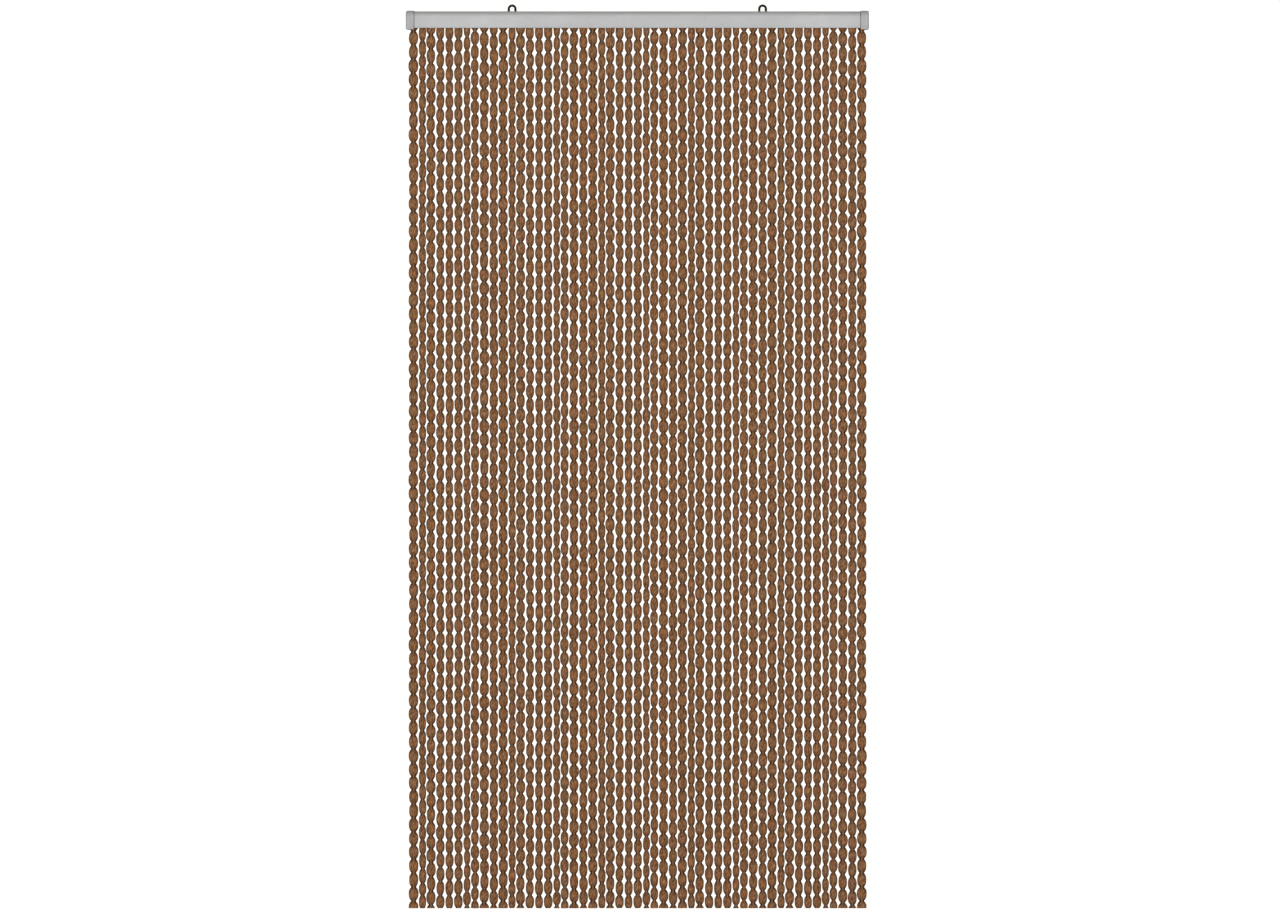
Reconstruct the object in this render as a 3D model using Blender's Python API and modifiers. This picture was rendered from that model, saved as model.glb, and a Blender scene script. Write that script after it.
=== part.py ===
"""A pom pom string curtain for a doorway, hung from an aluminium rail by two wire eyes.

The rail is an upside-down channel, open below, with a plastic cap slipped over each end. Three holding
strips lie on the ledges inside it, and the pom pom strands hang from them, each free of its neighbours.
Units are metres. The origin is midway between the two eyes, at the top of their inside, where the hooks
that carry the curtain bear. +X runs along the rail to the right, -Y faces the viewer and +Z is up.
"""

import math
from collections import namedtuple

import bmesh
import bpy
from mathutils import Matrix, Vector

MM = 0.001
GAP = 0.3 * MM  # between pieces that touch

# Rail: a drawn channel, open below, with a ledge inside each wall
OVERALL_WIDTH = 1000 * MM  # over both end caps
RAIL_HEIGHT = 36 * MM
RAIL_DEPTH = 26 * MM
RAIL_WALL = 1.5 * MM
RAIL_ROUND = 11.5 * MM  # radius of its two upper edges, which leaves a narrow flat top
LEDGE_WIDTH = 3 * MM
LEDGE_THICKNESS = 1.5 * MM
LEDGE_DROP = 12.5 * MM  # from the rail's top to the ledges' top
ARC_STEPS = 4  # facets in a quarter turn

# End caps: sleeves over the rail's ends, closed at the outer end and open below like the rail
CAP_LENGTH = 17.7 * MM
CAP_WALL = 1.2 * MM
CAP_END_WALL = 2 * MM
CAP_SKIRT = 3.5 * MM  # how far a cap hangs below the rail
CAP_CORNER = 4 * MM  # radius of its upright outer edges

# Hanging eyes: a black wire staple through the rail's top, with its feet bent outwards beneath
EYE_SPACING = 541 * MM
WIRE_RADIUS = 2.2 * MM
EYE_RISE = 14.7 * MM  # top of the loop above the rail
LOOP_RADIUS = 7.15 * MM  # to the wire's centre line
FOOT_BEND = 2.5 * MM
FOOT_LENGTH = 5 * MM
LOOP_STEPS = 14
BEND_STEPS = 3
LEG_CLEARANCE = 0.6 * MM  # around each leg in its hole
HOLE_SIDES = 10

# Strands: chains of soft flattened pompoms that meet in narrow waists
STRAND_COUNT = 51
STRAND_PITCH = 19.36 * MM
DROP = 1937 * MM  # from the rail's top to the cut ends
POMPOM_WIDE = 21 * MM
POMPOM_FLAT = 15 * MM
WAIST_WIDE = 11.5 * MM
WAIST_FLAT = 9 * MM
POMPOM_LENGTH = 29.8 * MM
POMPOMS_PER_SWELLING = 2.5  # real pompoms that one swelling of these plain solids stands for
SWELLING = POMPOM_LENGTH * POMPOMS_PER_SWELLING
FIRST_SLOPE = 8 * MM  # least height of the slope from the neck between the ledges to the first swelling
SIDES = 3

# The strands repeat in tens. shift is how far one hangs out of its even place, turn is how far its flat
# pompoms are turned from facing the viewer, and phase is how far down its first one is, in pompoms.
Strand = namedtuple("Strand", "shift turn phase")
REPEAT = (
    Strand(shift=0.0 * MM, turn=0, phase=0.92),
    Strand(shift=0.0 * MM, turn=65, phase=0.58),
    Strand(shift=-1.2 * MM, turn=22, phase=0.22),
    Strand(shift=-0.1 * MM, turn=42, phase=0.49),
    Strand(shift=0.2 * MM, turn=46, phase=0.52),
    Strand(shift=0.6 * MM, turn=35, phase=0.49),
    Strand(shift=-0.4 * MM, turn=80, phase=0.33),
    Strand(shift=-2.8 * MM, turn=40, phase=0.93),
    Strand(shift=-1.8 * MM, turn=24, phase=0.06),
    Strand(shift=-0.8 * MM, turn=44, phase=0.20),
)

# Holding strips: three in a row on the ledges, each with the roots of its strands fused into it
STRIP_THICKNESS = 2.5 * MM
STRIP_SIDE_GAP = 0.8 * MM  # to the rail's walls
STRIP_END_GAP = 2 * MM  # from one strip to the next
STRIP_NAMES = ("strands_left", "strands_middle", "strands_right")
STRANDS_PER_STRIP = STRAND_COUNT // len(STRIP_NAMES)

RAIL_TOP = 2 * WIRE_RADIUS - EYE_RISE
RAIL_BOTTOM = RAIL_TOP - RAIL_HEIGHT
STRAND_END = RAIL_TOP - DROP
LEDGE_TOP = RAIL_TOP - LEDGE_DROP
RAIL_LENGTH = OVERALL_WIDTH - 2 * (CAP_END_WALL + GAP)
INSIDE_DEPTH = RAIL_DEPTH - 2 * RAIL_WALL
HOLE_RADIUS = WIRE_RADIUS + LEG_CLEARANCE
OVERLAP = 1 * MM  # by which cutters and roots run into what they cut or join


def clear_scene():
    for thing in list(bpy.data.objects):
        bpy.data.objects.remove(thing, do_unlink=True)


def new_collection(name):
    made = bpy.data.collections.new(name)
    bpy.context.scene.collection.children.link(made)
    return made


def plain_material(name, colour, roughness, metallic):
    material = bpy.data.materials.new(name)
    material.use_nodes = True
    surface = material.node_tree.nodes["Principled BSDF"]
    surface.inputs["Base Color"].default_value = (*colour, 1.0)
    surface.inputs["Roughness"].default_value = roughness
    surface.inputs["Metallic"].default_value = metallic
    return material


def add_object(name, data, collection, material=None):
    thing = bpy.data.objects.new(name, data)
    collection.objects.link(thing)
    if material:
        data.materials.clear()
        data.materials.append(material)
    return thing


def evaluated_mesh(source):
    """The object's shape with its modifiers and its place taken in, as a mesh with its seams welded."""
    bpy.context.view_layer.update()
    graph = bpy.context.evaluated_depsgraph_get()
    mesh = bpy.data.meshes.new_from_object(source.evaluated_get(graph))
    mesh.transform(source.matrix_world)
    solid = bmesh.new()
    solid.from_mesh(mesh)
    bmesh.ops.remove_doubles(solid, verts=solid.verts, dist=1e-6)
    solid.to_mesh(mesh)
    solid.free()
    return mesh


def as_mesh_object(source, collection, material=None):
    """Turns a curve or a modified object into a mesh object of the same name."""
    name, mesh = source.name, evaluated_mesh(source)
    bpy.data.objects.remove(source, do_unlink=True)
    return add_object(name, mesh, collection, material)


def boolean(target, other, operation):
    modifier = target.modifiers.new(operation.lower(), "BOOLEAN")
    modifier.operation = operation
    modifier.solver = "EXACT"
    modifier.object = other
    other.hide_render = True
    other.display_type = "WIRE"


def quarter_turn(centre, radius, start):
    """Points of a quarter circle, going clockwise from the start angle."""
    angles = [start - math.pi / 2 * step / ARC_STEPS for step in range(ARC_STEPS + 1)]
    return [Vector((centre[0] + radius * math.cos(a), centre[1] + radius * math.sin(a))) for a in angles]


def arch(half_depth, top, bottom, radius):
    """An outline's points, up the front, over two rounded upper edges and down the back."""
    over_front = quarter_turn((radius - half_depth, top - radius), radius, math.pi)
    over_back = quarter_turn((half_depth - radius, top - radius), radius, math.pi / 2)
    return [Vector((-half_depth, bottom)), *over_front, *over_back, Vector((half_depth, bottom))]


def slab(name, outline, thickness, collection):
    """A flat outline filled and given a thickness, centred on the outline's own plane."""
    curve = bpy.data.curves.new(name, "CURVE")
    curve.dimensions = "2D"
    curve.fill_mode = "BOTH"
    curve.extrude = thickness / 2
    spline = curve.splines.new("POLY")
    spline.points.add(len(outline) - 1)
    for point, place in zip(spline.points, outline):
        point.co = (place[0], place[1], 0.0, 1.0)
    spline.use_cyclic_u = True
    return add_object(name, curve, collection)


def drawn_along_x(name, outline, start, end, collection):
    """An outline given as (y, z) points, drawn out along X from start to end."""
    piece = slab(name, outline, end - start, collection)
    piece.rotation_euler = (math.pi / 2, 0, math.pi / 2)
    piece.location.x = (start + end) / 2
    return as_mesh_object(piece, collection)


def rail_outline():
    outer = arch(RAIL_DEPTH / 2, RAIL_TOP, RAIL_BOTTOM, RAIL_ROUND)
    inner = arch(INSIDE_DEPTH / 2, RAIL_TOP - RAIL_WALL, RAIL_BOTTOM, RAIL_ROUND - RAIL_WALL)
    wall, lip = INSIDE_DEPTH / 2, INSIDE_DEPTH / 2 - LEDGE_WIDTH
    low, high = LEDGE_TOP - LEDGE_THICKNESS, LEDGE_TOP
    back_ledge = [(wall, low), (lip, low), (lip, high), (wall, high)]
    front_ledge = [(-y, z) for y, z in reversed(back_ledge)]
    down_the_inside = list(reversed(inner))
    return [*outer, down_the_inside[0], *back_ledge, *down_the_inside[1:-1], *front_ledge, inner[0]]


def make_rail(parts, cutters, material):
    rail = drawn_along_x("rail", rail_outline(), -RAIL_LENGTH / 2, RAIL_LENGTH / 2, parts)
    rail.data.materials.append(material)
    drill = bmesh.new()
    for eye_x in (-EYE_SPACING / 2, EYE_SPACING / 2):
        for leg in (-LOOP_RADIUS, LOOP_RADIUS):
            bmesh.ops.create_cone(
                drill,
                cap_ends=True,
                segments=HOLE_SIDES,
                radius1=HOLE_RADIUS,
                radius2=HOLE_RADIUS,
                depth=RAIL_WALL + 2 * OVERLAP,
                matrix=Matrix.Translation((eye_x + leg, 0, RAIL_TOP - RAIL_WALL / 2)),
            )
    mesh = bpy.data.meshes.new("leg_holes")
    drill.to_mesh(mesh)
    drill.free()
    boolean(rail, add_object("leg_holes", mesh, cutters), "DIFFERENCE")


def cap_plan(outer_x, inner_x, half_depth):
    """The cap seen from above, with its two outer corners rounded."""
    corner = CAP_CORNER
    way = math.copysign(1, inner_x - outer_x)
    front = quarter_turn((corner, corner - half_depth), corner, -math.pi / 2)
    back = quarter_turn((corner, half_depth - corner), corner, math.pi)
    length = abs(inner_x - outer_x)
    square = [(length, half_depth), (length, -half_depth)]
    return [(outer_x + way * x, y) for x, y in [*front, *back, *square]]


def make_end_cap(name, side, parts, cutters, material):
    """side is -1 for the left end of the rail and 1 for the right one."""
    outer_x = side * OVERALL_WIDTH / 2
    inner_x = side * (OVERALL_WIDTH / 2 - CAP_LENGTH)
    half_depth = RAIL_DEPTH / 2 + GAP + CAP_WALL
    top = RAIL_TOP + GAP + CAP_WALL
    bottom = RAIL_BOTTOM - CAP_SKIRT
    outline = arch(half_depth, top, bottom, RAIL_ROUND + GAP + CAP_WALL)
    cap = drawn_along_x(name, outline, *sorted((outer_x, inner_x)), parts)
    cap.data.materials.append(material)

    plan = slab(f"{name}_plan", cap_plan(outer_x, inner_x, half_depth), 2 * (top - bottom), cutters)
    plan.location.z = (top + bottom) / 2
    boolean(cap, as_mesh_object(plan, cutters), "INTERSECT")

    hollow = arch(RAIL_DEPTH / 2 + GAP, RAIL_TOP + GAP, bottom - OVERLAP, RAIL_ROUND + GAP)
    ends = sorted((outer_x - side * CAP_END_WALL, inner_x - side * OVERLAP))
    boolean(cap, drawn_along_x(f"{name}_hollow", hollow, *ends, cutters), "DIFFERENCE")


def eye_half():
    """The wire's centre line from the crown of the loop down the right leg to the tip of its foot."""
    centre_z = RAIL_TOP + EYE_RISE - WIRE_RADIUS - LOOP_RADIUS
    points = []
    for step in range(LOOP_STEPS // 2 + 1):
        angle = math.pi / 2 * (1 - step / (LOOP_STEPS // 2))
        points.append((LOOP_RADIUS * math.cos(angle), centre_z + LOOP_RADIUS * math.sin(angle)))
    bend_z = RAIL_TOP - RAIL_WALL - GAP - WIRE_RADIUS + FOOT_BEND
    for step in range(BEND_STEPS + 1):
        angle = math.pi / 2 * step / BEND_STEPS
        across = LOOP_RADIUS + FOOT_BEND * (1 - math.cos(angle))
        points.append((across, bend_z - FOOT_BEND * math.sin(angle)))
    points.append((points[-1][0] + FOOT_LENGTH, points[-1][1]))
    return points


def make_hanging_eye(name, x, parts, material):
    right = eye_half()
    route = [(-across, z) for across, z in reversed(right)] + right[1:]
    curve = bpy.data.curves.new(name, "CURVE")
    curve.dimensions = "3D"
    curve.bevel_depth = WIRE_RADIUS
    curve.bevel_resolution = 2
    curve.use_fill_caps = True
    spline = curve.splines.new("POLY")
    spline.points.add(len(route) - 1)
    for point, (across, z) in zip(spline.points, route):
        point.co = (x + across, 0.0, z, 1.0)
    eye = as_mesh_object(add_object(name, curve, parts), parts, material)
    eye.data.shade_smooth()
    eye.data.set_sharp_from_angle(angle=math.radians(50))


def turned_oval(wide, flat, turn):
    """Width and depth, as seen from the front and the side, of an oval turned about its middle."""
    return math.hypot(wide * math.cos(turn), flat * math.sin(turn)), math.hypot(
        wide * math.sin(turn), flat * math.cos(turn)
    )


def strand_x(number):
    return (number - (STRAND_COUNT - 1) / 2) * STRAND_PITCH + REPEAT[number % len(REPEAT)].shift


def strand_profile(strand, waist_share):
    """(radius, z) points down a strand, as shares of its widest, from its root to its cut end.

    Between the ledges it is as narrow as a waist, and its swellings start below them.
    """
    neck_end = LEDGE_TOP - LEDGE_THICKNESS - OVERLAP
    points = [(waist_share, LEDGE_TOP + GAP + OVERLAP), (waist_share, neck_end)]
    half, belly = SWELLING / 2, RAIL_TOP - strand.phase * SWELLING
    step = math.ceil((belly - neck_end + FIRST_SLOPE) / half)
    while belly - step * half > STRAND_END:
        points.append((waist_share if step % 2 else 1.0, belly - step * half))
        step += 1
    following = waist_share if step % 2 else 1.0
    last, last_z = points[-1]
    points.append((last + (following - last) * (last_z - STRAND_END) / half, STRAND_END))
    return points


def make_strand(number, collection):
    """One strand, turned from its profile in three facets, one edge of which faces the viewer."""
    strand = REPEAT[number % len(REPEAT)]
    turn = math.radians(strand.turn)
    width, depth = turned_oval(POMPOM_WIDE, POMPOM_FLAT, turn)
    waist_width, _ = turned_oval(WAIST_WIDE, WAIST_FLAT, turn)
    points = strand_profile(strand, waist_width / width)
    on_axis = [(0.0, points[0][1]), *points, (0.0, points[-1][1])]
    mesh = bpy.data.meshes.new("strand")
    mesh.from_pydata([(r, 0, z) for r, z in on_axis], [(i, i + 1) for i in range(len(on_axis) - 1)], [])
    piece = add_object(f"strand_{number}", mesh, collection)
    screw = piece.modifiers.new("turned", "SCREW")
    screw.steps = screw.render_steps = SIDES
    screw.use_merge_vertices = True
    screw.merge_threshold = 1e-5
    screw.use_smooth_shade = False
    # A triangle on a unit circle is sqrt(3) wide and 1.5 deep, and its middle lies a quarter off centre.
    to_width, to_depth = width / math.sqrt(3), depth / 1.5
    place = Matrix.Translation((strand_x(number), to_depth / 4, 0))
    stretch = Matrix.Diagonal((to_width, to_depth, 1, 1))
    piece.matrix_world = place @ stretch @ Matrix.Rotation(-math.pi / 2, 4, "Z")
    return as_mesh_object(piece, collection)


def make_strand_row(name, first, parts, cutters, material):
    """A holding strip with the roots of its strands fused into its underside."""
    middle_x = (first + (STRANDS_PER_STRIP - STRAND_COUNT) / 2) * STRAND_PITCH
    length = STRANDS_PER_STRIP * STRAND_PITCH - STRIP_END_GAP
    bar = bmesh.new()
    bmesh.ops.create_cube(bar, size=1)
    size = Vector((length, INSIDE_DEPTH - 2 * STRIP_SIDE_GAP, STRIP_THICKNESS))
    middle = Vector((middle_x, 0, LEDGE_TOP + GAP + STRIP_THICKNESS / 2))
    bmesh.ops.transform(bar, verts=bar.verts, matrix=Matrix.LocRotScale(middle, None, size))
    mesh = bpy.data.meshes.new(name)
    bar.to_mesh(mesh)
    bar.free()
    row = add_object(name, mesh, parts, material)

    roots = bmesh.new()
    for number in range(first, first + STRANDS_PER_STRIP):
        strand = make_strand(number, cutters)
        roots.from_mesh(strand.data)
        bpy.data.objects.remove(strand, do_unlink=True)
    joined = bpy.data.meshes.new(f"{name}_loose")
    roots.to_mesh(joined)
    roots.free()
    boolean(row, add_object(f"{name}_loose", joined, cutters), "UNION")


def main():
    clear_scene()
    parts = new_collection("pom_pom_string_curtain")
    cutters = new_collection("cutters")
    aluminium = plain_material("satin_aluminium", (0.52, 0.52, 0.53), 0.45, 0.6)
    plastic = plain_material("grey_plastic", (0.46, 0.46, 0.47), 0.5, 0.0)
    black_wire = plain_material("black_wire", (0.01, 0.01, 0.01), 0.4, 0.0)
    brown_yarn = plain_material("brown_yarn", (0.25, 0.125, 0.06), 0.95, 0.0)

    make_rail(parts, cutters, aluminium)
    make_end_cap("end_cap_left", -1, parts, cutters, plastic)
    make_end_cap("end_cap_right", 1, parts, cutters, plastic)
    make_hanging_eye("hanging_eye_left", -EYE_SPACING / 2, parts, black_wire)
    make_hanging_eye("hanging_eye_right", EYE_SPACING / 2, parts, black_wire)
    for order, name in enumerate(STRIP_NAMES):
        make_strand_row(name, order * STRANDS_PER_STRIP, parts, cutters, brown_yarn)


main()
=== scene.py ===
import math
from collections import namedtuple

import bmesh
import bpy
from mathutils import Matrix, Vector


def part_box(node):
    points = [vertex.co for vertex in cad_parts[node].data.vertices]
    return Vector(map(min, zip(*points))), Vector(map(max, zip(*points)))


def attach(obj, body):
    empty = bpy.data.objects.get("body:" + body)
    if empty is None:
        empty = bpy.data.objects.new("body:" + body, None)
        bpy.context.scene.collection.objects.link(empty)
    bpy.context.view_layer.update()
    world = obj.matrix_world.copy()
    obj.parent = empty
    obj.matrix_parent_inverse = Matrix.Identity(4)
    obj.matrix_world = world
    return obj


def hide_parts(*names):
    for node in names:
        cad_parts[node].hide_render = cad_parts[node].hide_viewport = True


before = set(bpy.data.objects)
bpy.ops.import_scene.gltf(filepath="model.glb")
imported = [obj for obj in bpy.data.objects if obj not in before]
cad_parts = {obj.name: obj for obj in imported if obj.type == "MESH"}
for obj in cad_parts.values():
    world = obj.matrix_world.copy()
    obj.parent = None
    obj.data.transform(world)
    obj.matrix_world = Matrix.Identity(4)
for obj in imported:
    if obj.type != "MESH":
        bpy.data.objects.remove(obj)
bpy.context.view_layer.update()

MM = 0.001  # every length here is in metres


# The rail is a drawn aluminium channel, open below, with a rounded top and a ledge inside each wall.
# It is cut to length and satin anodised, and two holes are drilled through its top for each hanging eye.

RAIL_LOW, RAIL_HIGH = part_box("rail")
RAIL_SIZE = RAIL_HIGH - RAIL_LOW
RAIL_TOP = RAIL_HIGH.z
RAIL_WALL = 1.5 * MM
RAIL_ROUND = 11.5 * MM
ARC_STEPS = 12
LEDGE_TOP = RAIL_TOP - 12.5 * MM
LEDGE_BOTTOM = LEDGE_TOP - 1.5 * MM
LEDGE_WIDTH = 3 * MM
EDGE_BREAK = 0.25 * MM  # small radius that takes the sharpness off an edge
EYE_SPACING = 541 * MM
LEG_X = 7.15 * MM  # of an eye's legs, from its middle
LEG_HOLE_RADIUS = 2.9 * MM
HOLE_SIDES = 24
DRILL_LENGTH = 6 * MM
TOUCH = 0.01 * MM  # points nearer than this are at the same place
ALONG = 0.9  # a direction with this share on an axis runs along it
ACROSS = 0.1  # and one with less than this share runs across it


def deselect():
    if bpy.context.object and bpy.context.object.mode != "OBJECT":
        bpy.ops.object.mode_set(mode="OBJECT")
    bpy.ops.object.select_all(action="DESELECT")


def new_piece(name):
    """Names the primitive just added and settles its size and place into its mesh."""
    piece = bpy.context.object
    piece.name = piece.data.name = name
    bpy.ops.object.transform_apply(location=True, rotation=True, scale=True)
    return piece


def edit(piece):
    deselect()
    piece.select_set(True)
    bpy.context.view_layer.objects.active = piece
    bpy.ops.object.mode_set(mode="EDIT")
    bpy.ops.mesh.select_mode(type="VERT")
    bpy.ops.mesh.select_all(action="DESELECT")


def pick_faces(piece, wanted):
    """In edit mode, selects the faces whose centre and normal pass the test."""
    bpy.ops.mesh.select_mode(type="FACE")
    bpy.ops.mesh.select_all(action="DESELECT")
    mesh = bmesh.from_edit_mesh(piece.data)
    for face in mesh.faces:
        face.select_set(wanted(face.calc_center_median(), face.normal))
    bmesh.update_edit_mesh(piece.data)


def pick_edges(piece, wanted):
    """In edit mode, selects the edges whose middle and direction pass the test."""
    bpy.ops.mesh.select_mode(type="EDGE")
    bpy.ops.mesh.select_all(action="DESELECT")
    mesh = bmesh.from_edit_mesh(piece.data)
    for edge in mesh.edges:
        start, end = edge.verts[0].co, edge.verts[1].co
        edge.select_set(wanted((start + end) / 2, (end - start).normalized()))
    bmesh.update_edit_mesh(piece.data)


def apply_modifier(piece, kind, **settings):
    deselect()
    bpy.context.view_layer.objects.active = piece
    piece.select_set(True)
    modifier = piece.modifiers.new(kind.lower(), kind)
    for name, value in settings.items():
        setattr(modifier, name, value)
    bpy.ops.object.modifier_apply(modifier=modifier.name)


def round_edges(piece, width, segments, angle):
    """Rounds each edge between two faces that meet at more than the angle, in degrees."""
    limit = math.radians(angle)
    apply_modifier(piece, "BEVEL", width=width, segments=segments, limit_method="ANGLE", angle_limit=limit)


def cut(piece, cutter):
    """Cuts the cutter's shape out of a piece, and takes the cutter away."""
    apply_modifier(piece, "BOOLEAN", operation="DIFFERENCE", solver="EXACT", object=cutter)
    bpy.data.objects.remove(cutter, do_unlink=True)


def shade(piece, angle=35):
    deselect()
    bpy.context.view_layer.objects.active = piece
    piece.select_set(True)
    bpy.ops.object.shade_smooth_by_angle(angle=math.radians(angle))


def fix_in_place(piece, slot, *nodes):
    """Settles a finished piece on the part's one body, in place of its plain CAD nodes."""
    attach(piece, "root")
    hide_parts(*nodes)


def arched_block(name, low, high, radius):
    """A block between two corners, with its two long upper edges rounded."""
    deselect()
    bpy.ops.mesh.primitive_cube_add(size=1, location=(low + high) / 2, scale=high - low)
    block = new_piece(name)
    edit(block)
    pick_edges(block, lambda middle, way: abs(way.x) > ALONG and middle.z > (low.z + high.z) / 2)
    bpy.ops.mesh.bevel(offset=radius, segments=ARC_STEPS, affect="EDGES")
    deselect()
    return block


rail = arched_block("rail_channel", RAIL_LOW, RAIL_HIGH, RAIL_ROUND)
edit(rail)
pick_faces(rail, lambda centre, normal: normal.z < -ALONG or abs(normal.x) > ALONG)
bpy.ops.mesh.delete(type="FACE")
deselect()
apply_modifier(rail, "SOLIDIFY", thickness=RAIL_WALL, offset=-1)

edit(rail)
for height in (LEDGE_TOP, LEDGE_BOTTOM):
    bpy.ops.mesh.select_all(action="SELECT")
    bpy.ops.mesh.bisect(plane_co=(0, 0, height), plane_no=(0, 0, 1))
for side in (-1, 1):
    pick_faces(
        rail,
        lambda centre, normal: normal.y * side < -ALONG
        and centre.y * side > 0
        and LEDGE_BOTTOM < centre.z < LEDGE_TOP
        and abs(centre.x) < RAIL_SIZE.x / 2 - TOUCH,
    )
    bpy.ops.mesh.extrude_region_move(TRANSFORM_OT_translate={"value": (0, -side * LEDGE_WIDTH, 0)})
deselect()

for x in (-EYE_SPACING / 2, EYE_SPACING / 2):
    for leg in (-LEG_X, LEG_X):
        bpy.ops.mesh.primitive_cylinder_add(
            vertices=HOLE_SIDES, radius=LEG_HOLE_RADIUS, depth=DRILL_LENGTH, location=(x + leg, 0, RAIL_TOP)
        )
        cut(rail, new_piece("drill"))
round_edges(rail, EDGE_BREAK, segments=2, angle=40)
shade(rail)


def new_group(name, inputs, outputs):
    """A node group with the given named sockets. Returns it with its input and output nodes."""
    group = bpy.data.node_groups.new(name, "ShaderNodeTree")
    for socket, (kind, value) in inputs.items():
        made = group.interface.new_socket(socket, in_out="INPUT", socket_type=kind)
        if value is not None:
            made.default_value = value
    for socket, kind in outputs.items():
        group.interface.new_socket(socket, in_out="OUTPUT", socket_type=kind)
    return group, group.nodes.new("NodeGroupInput"), group.nodes.new("NodeGroupOutput")


def add_node(tree, kind, inputs=None, **settings):
    """Adds a node. inputs gives a value or a link for each named or numbered socket."""
    node = tree.nodes.new(kind)
    for name, value in settings.items():
        setattr(node, name, value)
    for name, value in (inputs or {}).items():
        if isinstance(value, bpy.types.NodeSocket):
            tree.links.new(value, node.inputs[name])
        else:
            node.inputs[name].default_value = value
    return node


def math_node(tree, operation, first, second=0.0, third=0.0):
    return add_node(tree, "ShaderNodeMath", {0: first, 1: second, 2: third}, operation=operation).outputs[0]


def mix_colours(tree, amount, first, second):
    inputs = {"Factor": amount, 6: first, 7: second}
    return add_node(tree, "ShaderNodeMix", inputs, data_type="RGBA").outputs[2]


def noise(tree, where, scale, detail):
    """Cloudy spots over a surface, from 0 to 1 and mostly near a half."""
    inputs = {"Vector": where, "Scale": scale, "Detail": detail}
    return add_node(tree, "ShaderNodeTexNoise", inputs).outputs[0]


def new_material(name):
    """A material with its tree and its Principled shader."""
    material = bpy.data.materials.new(name)
    material.use_nodes = True
    return material, material.node_tree, material.node_tree.nodes["Principled BSDF"]


def handling_marks():
    """Faint dust and rubbed places that come with handling, on metal and plastic alike."""
    inputs = {"Vector": ("NodeSocketVector", None), "Size": ("NodeSocketFloat", 20.0)}
    outputs = {"Rubbed": "NodeSocketFloat", "Dust": "NodeSocketFloat"}
    group, given, put_out = new_group("handling_marks", inputs, outputs)
    where, size = given.outputs["Vector"], given.outputs["Size"]
    broad = noise(group, where, size, 4.0)
    rubbed = add_node(group, "ShaderNodeMapRange", {"Value": broad, 1: 0.4, 2: 0.7})
    fine = noise(group, where, math_node(group, "MULTIPLY", size, 9.0), 6.0)
    dust = add_node(group, "ShaderNodeMapRange", {"Value": fine, 1: 0.5, 2: 0.75})
    group.links.new(rubbed.outputs[0], put_out.inputs["Rubbed"])
    group.links.new(dust.outputs[0], put_out.inputs["Dust"])
    return group


MARKS = handling_marks()


def joint_dust_and_shade():
    """A fine dark line along the lips of both end caps, partly dust and partly painted shade.

    Clear and Dark are distances from the rail's middle. The line is full at Dark and has gone at Clear.
    """
    inputs = {
        "Vector": ("NodeSocketVector", None),
        "Clear": ("NodeSocketFloat", 0.0),
        "Dark": ("NodeSocketFloat", 1.0),
    }
    group, given, put_out = new_group("joint_dust_and_shade", inputs, {"Line": "NodeSocketFloat"})
    parts = add_node(group, "ShaderNodeSeparateXYZ", {0: given.outputs["Vector"]})
    from_middle = math_node(group, "ABSOLUTE", parts.outputs[0])
    clear, dark = given.outputs["Clear"], given.outputs["Dark"]
    line = add_node(group, "ShaderNodeMapRange", {"Value": from_middle, 1: clear, 2: dark})
    group.links.new(line.outputs[0], put_out.inputs["Line"])
    return group


JOINT = joint_dust_and_shade()
CAP_LIPS_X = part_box("end_cap_right")[0].x


def add_joint(tree, clear, dark):
    """Places the line of dust and painted shade in a material. Its distances are from the caps' lips
    towards the rail's ends.
    """
    place = add_node(tree, "ShaderNodeTexCoord")
    inputs = {"Vector": place.outputs["Object"], "Clear": CAP_LIPS_X + clear, "Dark": CAP_LIPS_X + dark}
    return add_node(tree, "ShaderNodeGroup", inputs, node_tree=JOINT).outputs["Line"]


def add_marks(tree, size):
    """Places the handling marks in a material, and returns their outputs."""
    place = add_node(tree, "ShaderNodeTexCoord")
    return add_node(
        tree, "ShaderNodeGroup", {"Vector": place.outputs["Object"], "Size": size}, node_tree=MARKS
    ).outputs


def satin_aluminium():
    """Drawn along X, so its fine lines run that way, under a thin clear anodised layer."""
    material, tree, surface = new_material("satin_aluminium")
    place = add_node(tree, "ShaderNodeTexCoord").outputs["Object"]
    along = add_node(tree, "ShaderNodeMapping", {"Vector": place, "Scale": (6, 1500, 1500)}).outputs[0]
    lines = noise(tree, along, 1.0, 3.0)
    marks = add_marks(tree, 14.0)
    drawn = mix_colours(tree, lines, (0.44, 0.44, 0.445, 1), (0.51, 0.51, 0.51, 1))
    worn = math_node(tree, "MULTIPLY", marks["Rubbed"], 0.3)
    rubbed = mix_colours(tree, worn, drawn, (0.54, 0.54, 0.54, 1))
    dust = math_node(tree, "MULTIPLY", marks["Dust"], 0.15)
    dusty = mix_colours(tree, dust, rubbed, (0.36, 0.35, 0.34, 1))
    # A fine dark line of dust and painted shade beside the caps' lips.
    joint = math_node(tree, "MULTIPLY", add_joint(tree, clear=-1.6 * MM, dark=-0.3 * MM), 0.8)
    tree.links.new(mix_colours(tree, joint, dusty, (0.05, 0.05, 0.05, 1)), surface.inputs["Base Color"])
    fibre_gaps_shaded = math_node(tree, "MULTIPLY_ADD", lines, 0.14, 0.53)
    roughness = math_node(tree, "MULTIPLY_ADD", marks["Rubbed"], -0.06, fibre_gaps_shaded)
    tree.links.new(roughness, surface.inputs["Roughness"])
    bump = add_node(tree, "ShaderNodeBump", {"Strength": 0.12, "Distance": 0.00005, "Height": lines})
    tree.links.new(bump.outputs[0], surface.inputs["Normal"])
    surface.inputs["Metallic"].default_value = 0.25
    return material


rail.data.materials.append(satin_aluminium())
fix_in_place(rail, "rail", "rail")


# Each hanging eye is a length of black painted steel wire, bent to a staple that stands up from the rail.
# Its two legs pass down through the rail's top, and their feet are bent outwards and bear on its underside.

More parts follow.
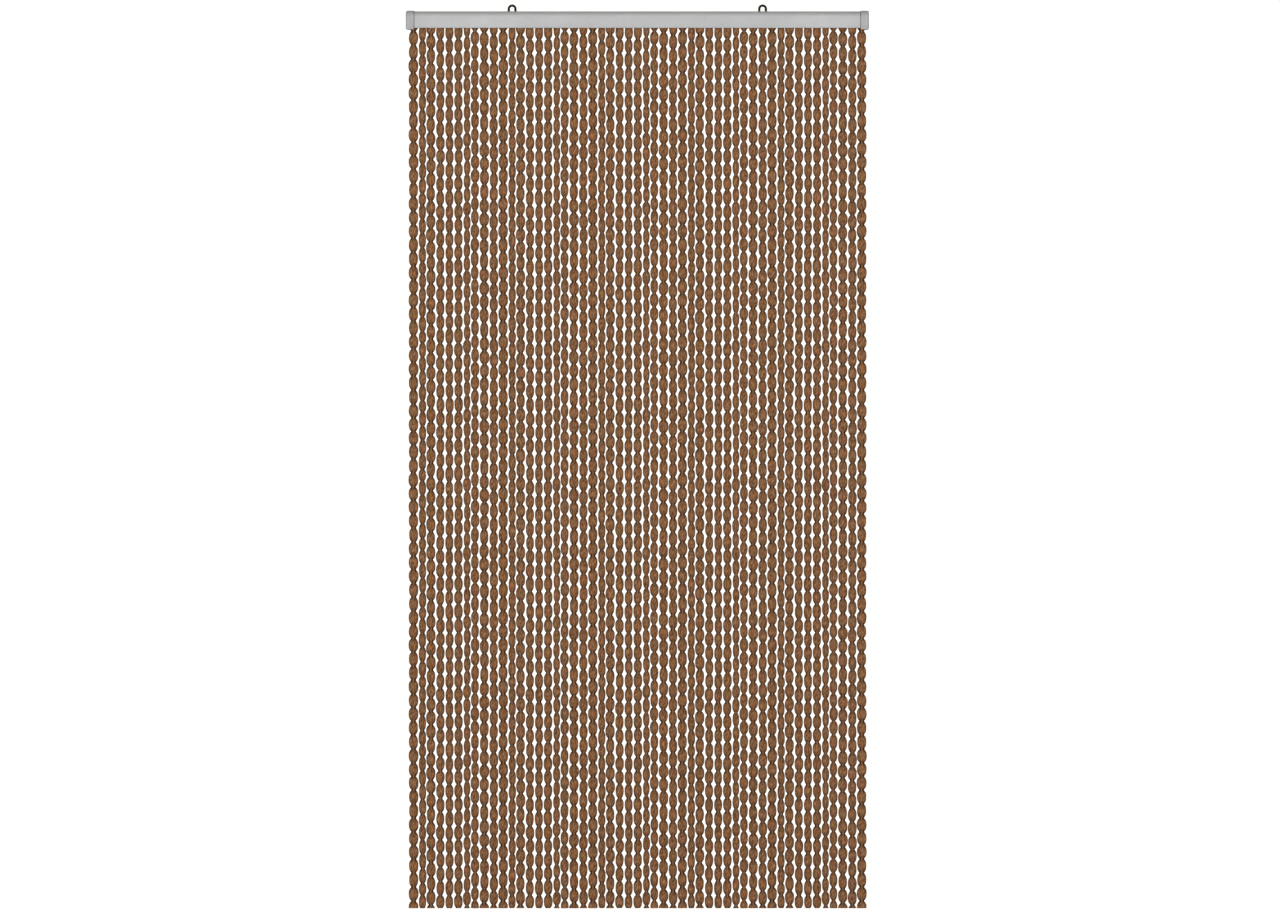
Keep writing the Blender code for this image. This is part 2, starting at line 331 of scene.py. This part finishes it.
EYE_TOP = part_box("hanging_eye_right")[1].z
BARE_WIRE_RADIUS = 2.2 * MM
WIRE_RADIUS = 2.6 * MM  # with its thick coat of paint
WIRE_SIDES = 16
LOOP_STEPS = 20
FOOT_BEND = 2.5 * MM
FOOT_BEND_STEPS = 8
FOOT_LENGTH = 5 * MM
TIP_LENGTH = WIRE_RADIUS / 6  # of the narrower end of each foot
TIP_SHARE = 0.8  # of the wire's radius that is left there
FOOT_CLEARANCE = 0.3 * MM  # between the feet and the rail's wall above them
LOOP_CENTRE_Z = EYE_TOP - BARE_WIRE_RADIUS - LEG_X
FOOT_Z = RAIL_TOP - RAIL_WALL - FOOT_CLEARANCE - WIRE_RADIUS


def bend_wire(steps, angle, centre_x, centre_z):
    """In edit mode, bends the wire's selected end round a centre, downwards by a positive angle."""
    bpy.ops.mesh.spin(steps=steps, angle=angle, center=(centre_x, 0, centre_z), axis=(0, -1, 0))


def bent_eye():
    """Half an eye, from the crown of its loop to the tip of its right foot, mirrored to the whole."""
    deselect()
    crown = (0, 0, LOOP_CENTRE_Z + LEG_X)
    bpy.ops.mesh.primitive_circle_add(
        vertices=WIRE_SIDES, radius=WIRE_RADIUS, location=crown, rotation=(0, math.pi / 2, 0)
    )
    eye = new_piece("hanging_eye")
    edit(eye)
    bpy.ops.mesh.select_all(action="SELECT")
    bend_wire(LOOP_STEPS, math.pi / 2, 0, LOOP_CENTRE_Z)
    leg_drop = LOOP_CENTRE_Z - FOOT_Z - FOOT_BEND
    bpy.ops.mesh.extrude_region_move(TRANSFORM_OT_translate={"value": (0, 0, -leg_drop)})
    bend_wire(FOOT_BEND_STEPS, -math.pi / 2, LEG_X + FOOT_BEND, FOOT_Z + FOOT_BEND)
    bpy.ops.mesh.extrude_region_move(TRANSFORM_OT_translate={"value": (FOOT_LENGTH, 0, 0)})
    bpy.ops.mesh.extrude_region_move(TRANSFORM_OT_translate={"value": (TIP_LENGTH, 0, 0)})
    bpy.ops.transform.resize(value=(1, TIP_SHARE, TIP_SHARE))
    bpy.ops.mesh.edge_face_add()
    deselect()
    apply_modifier(
        eye, "MIRROR", use_axis=(True, False, False), use_mirror_merge=True, merge_threshold=TOUCH
    )
    edit(eye)
    bpy.ops.mesh.select_all(action="SELECT")
    bpy.ops.mesh.normals_make_consistent(inside=False)
    shade(eye, angle=50)
    return eye


def black_wire_paint():
    """Black paint with a faint orange-peel skin, rubbed a little thin where hooks and hands touch it."""
    material, tree, surface = new_material("black_wire_paint")
    marks = add_marks(tree, 160.0)
    worn = math_node(tree, "MULTIPLY", marks["Rubbed"], 0.5)
    paint = mix_colours(tree, worn, (0.003, 0.003, 0.003, 1), (0.009, 0.009, 0.009, 1))
    dust = math_node(tree, "MULTIPLY", marks["Dust"], 0.15)
    dusty = mix_colours(tree, dust, paint, (0.03, 0.029, 0.027, 1))
    tree.links.new(dusty, surface.inputs["Base Color"])
    surface.inputs["Specular IOR Level"].default_value = 0.25
    roughness = math_node(tree, "MULTIPLY_ADD", marks["Rubbed"], -0.15, 0.65)
    tree.links.new(roughness, surface.inputs["Roughness"])
    place = add_node(tree, "ShaderNodeTexCoord").outputs["Object"]
    skin = noise(tree, place, 900.0, 2.0)
    bump = add_node(tree, "ShaderNodeBump", {"Strength": 0.15, "Distance": 0.0001, "Height": skin})
    tree.links.new(bump.outputs[0], surface.inputs["Normal"])
    return material


first_eye = bent_eye()
first_eye.data.materials.append(black_wire_paint())
for side, x in (("left", -EYE_SPACING / 2), ("right", EYE_SPACING / 2)):
    eye = first_eye.copy()
    eye.data = first_eye.data.copy()
    eye.name = eye.data.name = f"wire_eye_{side}"
    bpy.context.scene.collection.objects.link(eye)
    eye.data.transform(Matrix.Translation((x, 0, 0)))
    fix_in_place(eye, "eye", f"hanging_eye_{side}")
bpy.data.objects.remove(first_eye, do_unlink=True)


# An end cap is moulded in grey plastic and pushed over each end of the rail. It is closed at its outer end
# and open below like the rail. Its sides bulge a little, its lips are rolled in and its outer rim is well
# rounded.

CAP_SEAT = 0.3 * MM  # between the rail and the cap, all round
CAP_END_WALL = 2 * MM
CAP_RIM_ROUND = 3.5 * MM
CAP_RIM_STEPS = 6
CAP_EDGE_BREAK = 0.2 * MM
CAP_LIP = 0.4 * MM  # thickness of the side walls at the lips
CUT_OVERLAP = 1 * MM  # by which the hollow runs out of the cap's open sides

# along is the distance from the lips where the rail enters, and wall is the thickness of the side walls
# there.
CapRing = namedtuple("CapRing", "along wall")
CAP_RINGS = (
    CapRing(along=0.2 * MM, wall=0.80 * MM),
    CapRing(along=0.7 * MM, wall=1.15 * MM),
    CapRing(along=1.6 * MM, wall=1.40 * MM),
    CapRing(along=5.0 * MM, wall=1.85 * MM),
    CapRing(along=8.8 * MM, wall=2.00 * MM),
    CapRing(along=12.6 * MM, wall=1.75 * MM),
)


def grey_plastic():
    """Moulded with a fine spark-eroded grain, and rubbed smoother where fingers have pushed it on."""
    material, tree, surface = new_material("grey_plastic")
    marks = add_marks(tree, 45.0)
    place = add_node(tree, "ShaderNodeTexCoord").outputs["Object"]
    grain = noise(tree, place, 1600.0, 2.0)
    body = mix_colours(tree, grain, (0.36, 0.36, 0.37, 1), (0.42, 0.42, 0.43, 1))
    worn = math_node(tree, "MULTIPLY", marks["Rubbed"], 0.3)
    rubbed = mix_colours(tree, worn, body, (0.46, 0.46, 0.465, 1))
    dust = math_node(tree, "MULTIPLY", marks["Dust"], 0.2)
    dusty = mix_colours(tree, dust, rubbed, (0.3, 0.29, 0.28, 1))
    # A fine dark line of dust and painted shade along the cap's lips.
    joint = math_node(tree, "MULTIPLY", add_joint(tree, clear=1.0 * MM, dark=0.3 * MM), 0.7)
    tree.links.new(mix_colours(tree, joint, dusty, (0.05, 0.05, 0.05, 1)), surface.inputs["Base Color"])
    roughness = math_node(tree, "MULTIPLY_ADD", marks["Rubbed"], -0.08, 0.40)
    tree.links.new(roughness, surface.inputs["Roughness"])
    bump = add_node(tree, "ShaderNodeBump", {"Strength": 0.2, "Distance": 0.0001, "Height": grain})
    tree.links.new(bump.outputs[0], surface.inputs["Normal"])
    return material


cap_plastic = grey_plastic()
for side, outwards in (("left", -1), ("right", 1)):
    low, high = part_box(f"end_cap_{side}")
    outer_x, inner_x = (low.x, high.x) if outwards < 0 else (high.x, low.x)
    inside_half = RAIL_SIZE.y / 2 + CAP_SEAT
    lip_half = inside_half + CAP_LIP
    cap = arched_block(
        f"moulded_cap_{side}",
        Vector((low.x, -lip_half, low.z)),
        Vector((high.x, lip_half, high.z)),
        RAIL_ROUND + CAP_SEAT + CAP_LIP,
    )
    edit(cap)
    for ring in CAP_RINGS:
        bpy.ops.mesh.select_all(action="SELECT")
        bpy.ops.mesh.bisect(plane_co=(inner_x + outwards * ring.along, 0, 0), plane_no=(1, 0, 0))
    for ring in CAP_RINGS:
        cut_x = inner_x + outwards * ring.along
        widening = (inside_half + ring.wall) / lip_half
        pick_edges(cap, lambda middle, way: abs(middle.x - cut_x) < TOUCH and abs(way.x) < ACROSS)
        bpy.ops.transform.resize(value=(1, widening, 1), center_override=(cut_x, 0, 0))
    pick_edges(cap, lambda middle, way: abs(middle.x - outer_x) < TOUCH and middle.z > low.z + TOUCH)
    bpy.ops.mesh.bevel(offset=CAP_RIM_ROUND, segments=CAP_RIM_STEPS, affect="EDGES")
    deselect()
    hollow_ends = sorted((outer_x - outwards * CAP_END_WALL, inner_x - outwards * CUT_OVERLAP))
    hollow = arched_block(
        "hollow",
        Vector((hollow_ends[0], -inside_half, low.z - CUT_OVERLAP)),
        Vector((hollow_ends[1], inside_half, RAIL_TOP + CAP_SEAT)),
        RAIL_ROUND + CAP_SEAT,
    )
    cut(cap, hollow)
    round_edges(cap, CAP_EDGE_BREAK, segments=2, angle=60)
    shade(cap)
    cap.data.materials.append(cap_plastic)
    fix_in_place(cap, "end_cap", f"end_cap_{side}")


# Three lengths of firm woven tape lie on the rail's ledges, hidden inside it.
# The strands are sewn to them by their narrow upper ends and hang down between the ledges.

TAPE_THICKNESS = 2.5 * MM
TAPE_SEAT = 0.3 * MM  # between the ledges and the tapes
TAPE_DEPTH = 21.4 * MM
TAPE_JOINT = 2 * MM  # between one tape and the next
TAPE_EDGE_ROUND = 1 * MM
THREADS = 2600.0  # radians of the weave in a metre
TAPE_BOTTOM = LEDGE_TOP + TAPE_SEAT
STRAND_COUNT = 51
STRAND_PITCH = 19.36 * MM
TAPES = ("left", "middle", "right")
STRANDS_PER_TAPE = STRAND_COUNT // len(TAPES)


def woven_tape():
    """A plain weave of brown thread, each crossing a small lump."""
    material, tree, surface = new_material("woven_tape")
    place = add_node(tree, "ShaderNodeTexCoord").outputs["Object"]
    parts = add_node(tree, "ShaderNodeSeparateXYZ", {0: place})
    across = math_node(tree, "SINE", math_node(tree, "MULTIPLY", parts.outputs[0], THREADS))
    along = math_node(tree, "SINE", math_node(tree, "MULTIPLY", parts.outputs[1], THREADS))
    weave = math_node(tree, "MULTIPLY_ADD", math_node(tree, "MULTIPLY", across, along), 0.5, 0.5)
    colour = mix_colours(tree, weave, (0.06, 0.03, 0.016, 1), (0.17, 0.09, 0.05, 1))
    tree.links.new(colour, surface.inputs["Base Color"])
    roughness = math_node(tree, "MULTIPLY_ADD", weave, -0.1, 0.95)
    tree.links.new(roughness, surface.inputs["Roughness"])
    bump = add_node(tree, "ShaderNodeBump", {"Strength": 0.5, "Distance": 0.0003, "Height": weave})
    tree.links.new(bump.outputs[0], surface.inputs["Normal"])
    return material


tape_cloth = woven_tape()
for order, side in enumerate(TAPES):
    middle_number = order * STRANDS_PER_TAPE + (STRANDS_PER_TAPE - 1) / 2
    tape_x = (middle_number - (STRAND_COUNT - 1) / 2) * STRAND_PITCH
    tape_length = STRANDS_PER_TAPE * STRAND_PITCH - TAPE_JOINT
    deselect()
    bpy.ops.mesh.primitive_cube_add(
        size=1,
        location=(tape_x, 0, TAPE_BOTTOM + TAPE_THICKNESS / 2),
        scale=(tape_length, TAPE_DEPTH, TAPE_THICKNESS),
    )
    tape = new_piece(f"holding_tape_{side}")
    round_edges(tape, TAPE_EDGE_ROUND, segments=3, angle=30)
    shade(tape)
    tape.data.materials.append(tape_cloth)
    fix_in_place(tape, "yarn", f"strands_{side}")


# A strand is a chain of soft, flattened pompoms of brown yarn, pinched apart by tight narrow waists. Some
# strands show their broad side and others their narrow one. They repeat in tens along the rail, and their
# pompoms repeat in fives down it. Their lower ends are cut square.

WIDE_AND_DEEP = 35.5 * MM  # width and depth of a pompom together
WAIST_WIDE_AND_DEEP = 19.2 * MM
POMPOM_SIDES = 12
STRAND_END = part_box("strands_left")[0].z
SEWN_IN = 0.8 * MM  # how deep a strand's upper end sits in the tape
LUMPS = 0.8 * MM  # how uneven the pile is, from its lowest to its highest
SWAY = 1.2 * MM  # how far a strand wanders to the left and right, from one side to the other

# along is the share of the way from one waist to the next, and fullness goes from 0 there to 1 at the
# widest.
Ring = namedtuple("Ring", "along fullness")
POMPOM_RINGS = (
    Ring(along=0.00, fullness=0.00),
    Ring(along=0.06, fullness=0.22),
    Ring(along=0.15, fullness=0.61),
    Ring(along=0.28, fullness=0.92),
    Ring(along=0.50, fullness=1.00),
    Ring(along=0.72, fullness=0.88),
    Ring(along=0.85, fullness=0.60),
    Ring(along=0.94, fullness=0.22),
    Ring(along=1.00, fullness=0.00),
)

# All in millimetres. shift is how far a strand hangs out of its even place, first is how far below the
# rail's top its first waist is, waist is its waists' width, and lengths and widths are those of its
# pompoms, which repeat in fives.
Strand = namedtuple("Strand", "shift first waist lengths widths")
REPEAT = (
    Strand(shift=0.6, first=13.2, waist=10.3,
           lengths=(29.5, 30, 30.5, 30, 29), widths=(21.3, 20.3, 19.8, 21.3, 20.8)),
    Strand(shift=0.6, first=31.9, waist=8.8,
           lengths=(31.5, 32, 25, 30, 30.5), widths=(16.0, 16.5, 16.5, 16.0, 16.0)),
    Strand(shift=-0.6, first=21.5, waist=9.3,
           lengths=(29, 30.5, 30.5, 30, 29), widths=(20.5, 20.5, 18.5, 20.0, 20.0)),
    Strand(shift=0.3, first=29.7, waist=8.5,
           lengths=(31, 30, 30, 29.5, 28.5), widths=(18.0, 18.0, 17.5, 19.0, 19.0)),
    Strand(shift=0.6, first=30.8, waist=8.8,
           lengths=(30, 28.5, 32.5, 29, 29), widths=(18.0, 17.5, 18.0, 17.0, 17.5)),
    Strand(shift=0.8, first=30.1, waist=8.6,
           lengths=(29.5, 28.5, 32, 30, 29), widths=(18.5, 18.5, 19.0, 19.0, 18.0)),
    Strand(shift=0.0, first=24.7, waist=7.4,
           lengths=(30, 29, 29.5, 30, 30.5), widths=(14.5, 15.0, 15.0, 17.5, 16.0)),
    Strand(shift=-2.3, first=12.6, waist=7.5,
           lengths=(30, 29.5, 31.5, 28.5, 29.5), widths=(19.0, 19.0, 17.5, 17.0, 17.0)),
    Strand(shift=-1.5, first=17.1, waist=9.5,
           lengths=(28.5, 30.5, 32, 29, 29), widths=(20.0, 20.0, 18.5, 20.5, 21.5)),
    Strand(shift=-0.3, first=22.5, waist=9.3,
           lengths=(29, 30, 30, 30.5, 29.5), widths=(18.3, 18.3, 18.8, 19.3, 19.3)),
)
POMPOMS_IN_ROUND = 5
ROUND_LENGTH = 149 * MM  # of five pompoms
ROUNDS_IN_CHAIN = 13


def five_pompoms(strand):
    """Five pompoms in a row, from their upper waist down, open at both ends."""
    deselect()
    bpy.ops.mesh.primitive_circle_add(vertices=POMPOM_SIDES, radius=0.5)
    pompoms = new_piece("pompoms")
    edit(pompoms)
    bpy.ops.mesh.select_all(action="SELECT")
    waist_wide = strand.waist * MM
    waist_deep = WAIST_WIDE_AND_DEEP - waist_wide
    wide, deep = waist_wide, waist_deep
    bpy.ops.transform.resize(value=(wide, deep, 1))
    for length, full_width in zip(strand.lengths, strand.widths):
        for ring, next_ring in zip(POMPOM_RINGS, POMPOM_RINGS[1:]):
            drop = (next_ring.along - ring.along) * length * MM
            bpy.ops.mesh.extrude_region_move(TRANSFORM_OT_translate={"value": (0, 0, -drop)})
            next_wide = waist_wide + next_ring.fullness * (full_width * MM - waist_wide)
            next_deep = waist_deep + next_ring.fullness * (WIDE_AND_DEEP - full_width * MM - waist_deep)
            bpy.ops.transform.resize(value=(next_wide / wide, next_deep / deep, 1))
            wide, deep = next_wide, next_deep
    bpy.ops.mesh.select_all(action="SELECT")
    bpy.ops.mesh.normals_make_consistent(inside=False)
    deselect()
    return pompoms


def pompoms_above(depth, strand):
    """How many of a strand's five pompoms lie above a depth, with its share of the one that it is in."""
    for number, length in enumerate(strand.lengths):
        if depth <= length * MM:
            return number + depth / (length * MM)
        depth -= length * MM
    return POMPOMS_IN_ROUND


def map_along(pompoms, strand):
    """A map that follows the yarn: once round a pompom is 0 to 1, and so are five pompoms' lengths."""
    layer = pompoms.data.uv_layers.new(name="along")
    for face in pompoms.data.polygons:
        facing = math.atan2(face.center.y, face.center.x)
        for corner in face.loop_indices:
            place = pompoms.data.vertices[pompoms.data.loops[corner].vertex_index].co
            ahead = math.atan2(place.y, place.x) - facing
            ahead = (ahead + math.pi) % (2 * math.pi) - math.pi
            down = pompoms_above(-place.z, strand) / POMPOMS_IN_ROUND
            layer.data[corner].uv = (facing + ahead) / (2 * math.pi) + 0.5, down


def hang(strand):
    """A whole strand at its place below the rail, cut square at its lower end and with its neck above."""
    piece = five_pompoms(strand)
    map_along(piece, strand)
    apply_modifier(
        piece,
        "ARRAY",
        count=ROUNDS_IN_CHAIN,
        use_relative_offset=False,
        use_constant_offset=True,
        constant_offset_displace=(0, 0, -ROUND_LENGTH),
        use_merge_vertices=True,
        merge_threshold=TOUCH,
        offset_v=1.0,
    )
    first_z = RAIL_TOP - strand.first * MM
    piece.data.transform(Matrix.Translation((0, 0, first_z)))
    edit(piece)
    bpy.ops.mesh.select_all(action="SELECT")
    bpy.ops.mesh.bisect(plane_co=(0, 0, STRAND_END), plane_no=(0, 0, -1), use_fill=True, clear_outer=True)
    pick_edges(piece, lambda middle, way: abs(middle.z - first_z) < TOUCH and abs(way.z) < ACROSS)
    neck = TAPE_BOTTOM + SEWN_IN - first_z
    bpy.ops.mesh.extrude_region_move(TRANSFORM_OT_translate={"value": (0, 0, neck)})
    bpy.ops.mesh.edge_face_add()
    bpy.ops.mesh.select_all(action="SELECT")
    bpy.ops.mesh.normals_make_consistent(inside=False)
    deselect()
    return piece


hung = [hang(strand) for strand in REPEAT]

MAP_COLUMNS = 6
ROUNDS_PER_COLUMN = 2.2
MAP_MARGIN = 0.02  # of a column


def map_in_columns(piece):
    """A second map without overlaps, with the strand cut into six lengths laid side by side."""
    along = piece.data.uv_layers["along"].data
    laid_out = piece.data.uv_layers.new(name="OFBake").data
    for face in piece.data.polygons:
        corners = face.loop_indices
        down = sum(along[corner].uv.y for corner in corners) / len(corners)
        column = min(int(down / ROUNDS_PER_COLUMN), MAP_COLUMNS - 1)
        for corner in corners:
            round_share = MAP_MARGIN + (1 - 2 * MAP_MARGIN) * along[corner].uv.x
            length_share = along[corner].uv.y / ROUNDS_PER_COLUMN - column
            laid_out[corner].uv = (column + round_share) / MAP_COLUMNS, length_share


YARN_TWIST = 1.2  # radians by which the locks of yarn turn round the strand in one pompom's length
# The folds are not modelled in the mesh; only their creases show, as painted shade.
GATHERS = 4  # folds into which the pile is drawn together round a waist


def pile_of_yarn():
    """Brown yarn that winds a little as it runs down the strand, olive in places and redder in others. Its
    locks stand out lighter over painted shade in the hollows and between the fibres. Towards the waists it
    has painted shade on the shoulders and waists, deepest in the creases of folds where it is drawn
    together."""
    material, tree, surface = new_material("pile_of_yarn")
    along = add_node(tree, "ShaderNodeUVMap", uv_map="along").outputs[0]
    parts = add_node(tree, "ShaderNodeSeparateXYZ", {0: along})
    down = math_node(tree, "MULTIPLY", parts.outputs[1], POMPOMS_IN_ROUND)
    round_angle = math_node(tree, "MULTIPLY", parts.outputs[0], 2 * math.pi)
    wound = math_node(tree, "MULTIPLY_ADD", down, YARN_TWIST, round_angle)
    ring = add_node(
        tree,
        "ShaderNodeCombineXYZ",
        {0: math_node(tree, "COSINE", wound), 1: math_node(tree, "SINE", wound), 2: down},
    ).outputs[0]

    def yarn_noise(round_size, length_size, detail):
        where = add_node(
            tree, "ShaderNodeMapping", {"Vector": ring, "Scale": (round_size, round_size, length_size)}
        ).outputs[0]
        return noise(tree, where, 1.0, detail)

    def share_between(value, none, full, kind="LINEAR"):
        return add_node(
            tree, "ShaderNodeMapRange", {"Value": value, 1: none, 2: full}, interpolation_type=kind
        ).outputs[0]

    def darken(colour, amount, share, into):
        return mix_colours(tree, math_node(tree, "MULTIPLY", amount, share), colour, into)

    patches = yarn_noise(1.3, 1.9, 2.0)
    grey_patches = yarn_noise(1.7, 2.6, 2.0)
    locks = yarn_noise(4.2, 3.8, 3.0)
    fibres = yarn_noise(13.0, 5.0, 4.0)

    from_belly = math_node(tree, "SUBTRACT", math_node(tree, "FRACT", down), 0.5)
    from_waist = math_node(tree, "SUBTRACT", 0.5, math_node(tree, "ABSOLUTE", from_belly))
    shoulder = share_between(from_waist, 0.42, 0.10, "SMOOTHSTEP")
    gathered = share_between(from_waist, 0.22, 0.06, "SMOOTHSTEP")
    waist = share_between(from_waist, 0.16, 0.03, "SMOOTHSTEP")
    from_front = math_node(tree, "SUBTRACT", round_angle, math.pi / 2)
    ridges = math_node(tree, "COSINE", math_node(tree, "MULTIPLY", from_front, GATHERS))
    folds = share_between(ridges, 0.8, -0.5, "SMOOTHSTEP")

    olive = (0.485, 0.262, 0.100, 1)
    reddish = (0.615, 0.241, 0.098, 1)
    greyish = (0.505, 0.268, 0.150, 1)
    warm = mix_colours(tree, share_between(patches, 0.38, 0.62), olive, reddish)
    yarn = mix_colours(tree, share_between(grey_patches, 0.45, 0.65), warm, greyish)
    # The darkenings below are painted shade, not the yarn's own colour: in the hollows between locks, on
    # the shoulders towards the waists, at the waists, between the fibres, and deepest in the creases of the
    # folds round the waists.
    hollow = share_between(locks, 0.64, 0.36)
    between = share_between(fibres, 0.62, 0.38)
    shaded = darken(yarn, hollow, 0.90, (0.072, 0.036, 0.018, 1))
    shoulders_shaded = darken(shaded, shoulder, 0.42, (0.122, 0.069, 0.038, 1))
    neck = darken(shoulders_shaded, waist, 0.55, (0.340, 0.172, 0.088, 1))
    fibre_gaps_shaded = darken(neck, between, 0.50, (0.05, 0.024, 0.012, 1))
    creases_shaded = darken(fibre_gaps_shaded, math_node(tree, "MULTIPLY", gathered, folds), 0.92, (0.036, 0.012, 0.003, 1))
    tree.links.new(creases_shaded, surface.inputs["Base Color"])
    roughness = math_node(tree, "MULTIPLY_ADD", between, 0.12, 0.84)
    tree.links.new(roughness, surface.inputs["Roughness"])
    height = math_node(tree, "MULTIPLY_ADD", locks, 0.7, math_node(tree, "MULTIPLY", fibres, 0.3))
    bump = add_node(tree, "ShaderNodeBump", {"Strength": 0.8, "Distance": 0.0015, "Height": height})
    tree.links.new(bump.outputs[0], surface.inputs["Normal"])
    surface.inputs["Specular IOR Level"].default_value = 0.05
    return material


yarn_pile = pile_of_yarn()
soft_lumps = bpy.data.textures.new("soft_lumps", "CLOUDS")
soft_lumps.noise_scale = 9 * MM
soft_lumps.noise_depth = 1
slow_sway = bpy.data.textures.new("slow_sway", "CLOUDS")
slow_sway.noise_scale = 70 * MM
slow_sway.noise_depth = 0
for number in range(STRAND_COUNT):
    pattern = number % len(REPEAT)
    x = (number - (STRAND_COUNT - 1) / 2) * STRAND_PITCH + REPEAT[pattern].shift * MM
    strand = hung[pattern].copy()
    strand.data = hung[pattern].data.copy()
    strand.name = strand.data.name = f"pompom_strand_{number + 1:02d}"
    bpy.context.scene.collection.objects.link(strand)
    strand.data.transform(Matrix.Translation((x, 0, 0)))
    apply_modifier(
        strand, "DISPLACE", texture=soft_lumps, texture_coords="GLOBAL", strength=LUMPS, mid_level=0.5
    )
    apply_modifier(
        strand,
        "DISPLACE",
        texture=slow_sway,
        texture_coords="GLOBAL",
        direction="X",
        strength=SWAY,
        mid_level=0.5,
    )
    map_in_columns(strand)
    for corner in strand.data.uv_layers["along"].data:
        corner.uv.y += number * ROUNDS_IN_CHAIN
    strand.data.materials.append(yarn_pile)
    strand.select_set(True)
    bpy.ops.object.shade_smooth()
    fix_in_place(strand, "yarn", f"strands_{TAPES[number // STRANDS_PER_TAPE]}")
for piece in hung:
    bpy.data.objects.remove(piece, do_unlink=True)


# The studio has a pale floor under the hanging curtain and a bright backdrop all round, and both show as
# plain white. Two large soft lights stand in front of the curtain's upper half, one to each side, and a
# third stands behind it.

FLOOR_DROP = 20 * MM
FLOOR_SIZE = 120
ROOM_LIGHT = (0.35, 0.35, 0.35, 1)  # what comes back from the walls
BACKDROP = (1.11, 1.06, 1.0, 1)  # a warm white, so bright that it shows as plain white


def pale_floor():
    """Throws light back as pale paper does, and looks as white as the studio behind it."""
    material, tree, surface = new_material("pale_floor")
    seen = add_node(tree, "ShaderNodeLightPath").outputs["Is Camera Ray"]
    paper = mix_colours(tree, seen, (0.9, 0.9, 0.9, 1), (0, 0, 0, 1))
    tree.links.new(paper, surface.inputs["Base Color"])
    surface.inputs["Roughness"].default_value = 0.9
    surface.inputs["Specular IOR Level"].default_value = 0
    surface.inputs["Emission Color"].default_value = BACKDROP
    tree.links.new(seen, surface.inputs["Emission Strength"])
    return material


deselect()
bpy.ops.mesh.primitive_plane_add(size=FLOOR_SIZE, location=(0, 0, STRAND_END - FLOOR_DROP))
floor = new_piece("floor")
floor.data.materials.append(pale_floor())

world = bpy.data.worlds.new("white_studio")
bpy.context.scene.world = world
world.use_nodes = True
background = world.node_tree.nodes["Background"]
seen = add_node(world.node_tree, "ShaderNodeLightPath").outputs["Is Camera Ray"]
glow = mix_colours(world.node_tree, seen, ROOM_LIGHT, BACKDROP)
world.node_tree.links.new(glow, background.inputs["Color"])

LIGHT_DISTANCE = 10
LIGHT_SIZE = 4.2
LIGHT_DROP = 0.62  # below the rail's top


def soft_light(name, azimuth, power):
    """A square soft light facing the curtain. The azimuth is in degrees, to the right of its front."""
    turn = math.radians(azimuth)
    aside = math.sin(turn) * LIGHT_DISTANCE
    in_front = math.cos(turn) * LIGHT_DISTANCE
    place = Vector((aside, -in_front, RAIL_TOP - LIGHT_DROP))
    bpy.ops.object.light_add(type="AREA", location=place, rotation=(math.pi / 2, 0, turn))
    light = bpy.context.object
    light.name = light.data.name = name
    light.data.shape = "SQUARE"
    light.data.size = LIGHT_SIZE
    light.data.energy = power
    light.visible_camera = False


soft_light("left_light", azimuth=-28, power=432)
soft_light("right_light", azimuth=28, power=366)
soft_light("back_light", azimuth=180, power=420)

# The photo looks straight at the curtain, with hardly any perspective, so the camera stands far back with
# a long lens. The photo's middle lies a little right of the curtain's, and its scale is 2.16 mm a pixel.

PHOTO_WIDTH = 1280  # pixels
PHOTO_PIXEL = 2.16 * MM
CAMERA_X = 5.7 * MM
CAMERA_DROP = 969 * MM  # below the rail's top
CAMERA_DISTANCE = 20
camera_place = Vector((CAMERA_X, -CAMERA_DISTANCE, RAIL_TOP - CAMERA_DROP))
bpy.ops.object.camera_add(location=camera_place, rotation=(math.pi / 2, 0, 0))
camera = bpy.context.object
camera.data.lens = camera.data.sensor_width * CAMERA_DISTANCE / (PHOTO_WIDTH * PHOTO_PIXEL)
camera.data.clip_end = 10 * CAMERA_DISTANCE
bpy.context.scene.camera = camera
bpy.context.scene.view_settings.view_transform = "Standard"

bpy.context.view_layer.update()
